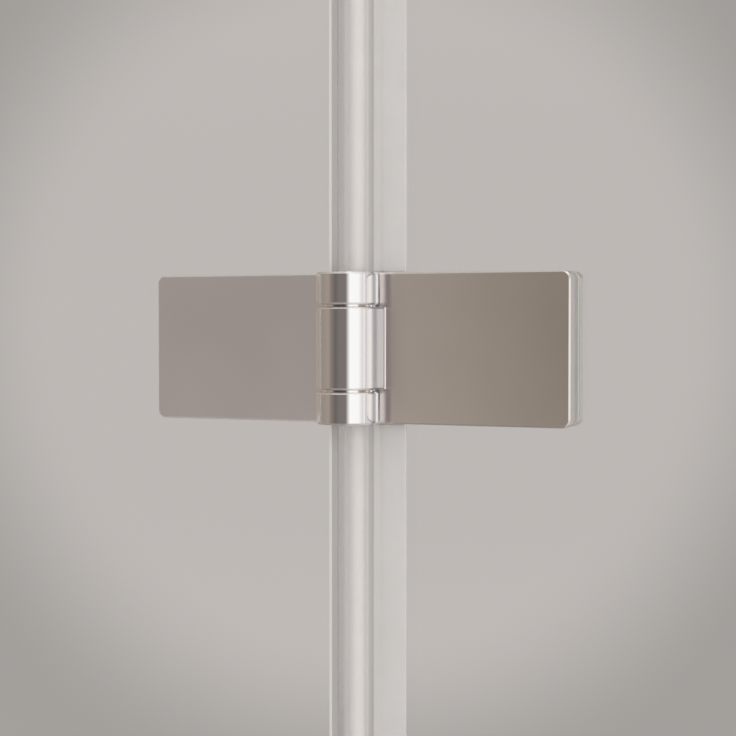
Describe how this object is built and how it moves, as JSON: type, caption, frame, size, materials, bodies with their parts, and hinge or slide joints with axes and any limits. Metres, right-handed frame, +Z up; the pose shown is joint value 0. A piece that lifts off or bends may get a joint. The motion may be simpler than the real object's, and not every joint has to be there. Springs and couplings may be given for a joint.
{
  "type": "bath screen",
  "caption": "Folding bath screen: a clear glass leaf held in a wall profile and a second leaf that folds back on polished barrel hinges, with a bubble seal in the joint.",
  "frame": {"origin": "where the wall face of the wall channel meets the bath rim, in the centre plane of the glass", "axes": "+X from the wall along the screen to the free edge, +Y through the glass away from the hinge barrels, +Z up"},
  "size_m": [1, 0.0318, 1.4],
  "materials": {
    "clear_glass": "clear toughened glass with polished edges",
    "hinge_chrome": "mirror polished",
    "screw_steel": "plain turned",
    "profile_aluminium": "bright anodised",
    "cap_plastic": "smooth moulded",
    "seal_vinyl": "milky translucent extrusion",
    "gasket_rubber": "thin pale sheet",
    "bush_nylon": "turned"
  },
  "bodies": {
    "wall_side": {"wall_channel": "profile_aluminium", "glazing_channel": "profile_aluminium", "glazing_gasket": "gasket_rubber", "lock_screws": "screw_steel", "lock_screw_caps": "cap_plastic", "profile_top_cap": "cap_plastic", "fixed_glass": "clear_glass", "fixed_bottom_seal": "seal_vinyl", "lower_fixed_leaf": "hinge_chrome", "lower_fixed_back_plate": "hinge_chrome", "lower_fixed_front_gasket": "gasket_rubber", "lower_fixed_back_gasket": "gasket_rubber", "lower_fixed_clamp_screws": "screw_steel", "lower_fixed_glass_sleeves": "bush_nylon", "lower_hinge_pin": "screw_steel", "lower_hinge_washers": "hinge_chrome", "lower_barrel_caps": "hinge_chrome", "lower_pin_set_screws": "screw_steel", "upper_fixed_leaf": "hinge_chrome", "upper_fixed_back_plate": "hinge_chrome", "upper_fixed_front_gasket": "gasket_rubber", "upper_fixed_back_gasket": "gasket_rubber", "upper_fixed_clamp_screws": "screw_steel", "upper_fixed_glass_sleeves": "bush_nylon", "upper_hinge_pin": "screw_steel", "upper_hinge_washers": "hinge_chrome", "upper_barrel_caps": "hinge_chrome", "upper_pin_set_screws": "screw_steel"},
    "folding_leaf": {"moving_glass": "clear_glass", "joint_seal_lower": "seal_vinyl", "joint_seal_middle": "seal_vinyl", "joint_seal_upper": "seal_vinyl", "moving_bottom_seal": "seal_vinyl", "lower_moving_leaf": "hinge_chrome", "lower_moving_back_plate": "hinge_chrome", "lower_moving_front_gasket": "gasket_rubber", "lower_moving_back_gasket": "gasket_rubber", "lower_moving_clamp_screws": "screw_steel", "lower_moving_glass_sleeves": "bush_nylon", "lower_hinge_bush": "bush_nylon", "upper_moving_leaf": "hinge_chrome", "upper_moving_back_plate": "hinge_chrome", "upper_moving_front_gasket": "gasket_rubber", "upper_moving_back_gasket": "gasket_rubber", "upper_moving_clamp_screws": "screw_steel", "upper_moving_glass_sleeves": "bush_nylon", "upper_hinge_bush": "bush_nylon"}
  },
  "joints": [
    {"name": "fold", "type": "hinge", "parent": "wall_side", "child": "folding_leaf", "pos_m": [0.52, -0.0125, 0], "axis": [0, 0, -1], "range_deg": [0, 180]}
  ]
}
